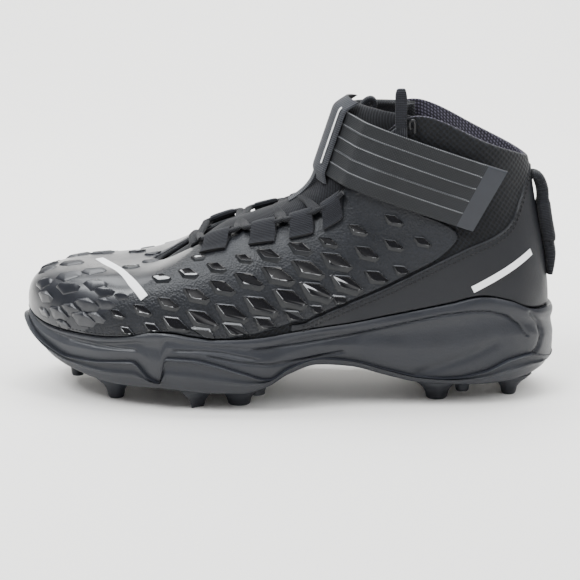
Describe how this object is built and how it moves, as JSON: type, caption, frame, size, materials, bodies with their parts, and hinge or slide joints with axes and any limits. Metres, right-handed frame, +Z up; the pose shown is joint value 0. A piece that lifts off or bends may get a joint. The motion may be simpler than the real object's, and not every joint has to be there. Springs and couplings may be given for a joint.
{
  "type": "american football cleat",
  "caption": "Mid-high left american football cleat with moulded studs, a podded vamp, webbing lace loops and a hook-and-loop ankle strap.",
  "frame": {"origin": "middle of the bottom of the bounding box, on the ground under the studs", "axes": "+Z up, the toe points along -X, the heel along +X, and the outer side of the left foot faces -Y"},
  "size_m": [0.3194, 0.1128, 0.1854],
  "materials": {
    "outsole_rubber": "semi-matt moulded",
    "midsole_foam": "semi-matt moulded foam",
    "upper_textile": "knitted mesh",
    "moulded_skin": "textile skin with glossy moulded pods",
    "heel_leather": "satin synthetic leather",
    "webbing": "ribbed webbing",
    "lace": "braided lace",
    "strap": "coated fabric with raised lines",
    "lining": "padded lining"
  },
  "bodies": {
    "root": {"midsole": "midsole_foam", "outsole": "outsole_rubber", "upper": "upper_textile", "vamp_skin": "moulded_skin", "heel_overlay": "heel_leather", "insole": "lining", "tongue": "upper_textile", "ankle_strap": "strap", "tongue_cover": "webbing", "lace_loop_outer_1": "webbing", "lace_loop_inner_1": "webbing", "lace_loop_outer_2": "webbing", "lace_loop_inner_2": "webbing", "lace_loop_outer_3": "webbing", "lace_loop_inner_3": "webbing", "lace_loop_outer_4": "webbing", "lace_loop_inner_4": "webbing", "lace_crossings": "lace", "heel_pull": "webbing", "collar_pull": "webbing", "tongue_pull": "webbing"}
  },
  "joints": []
}
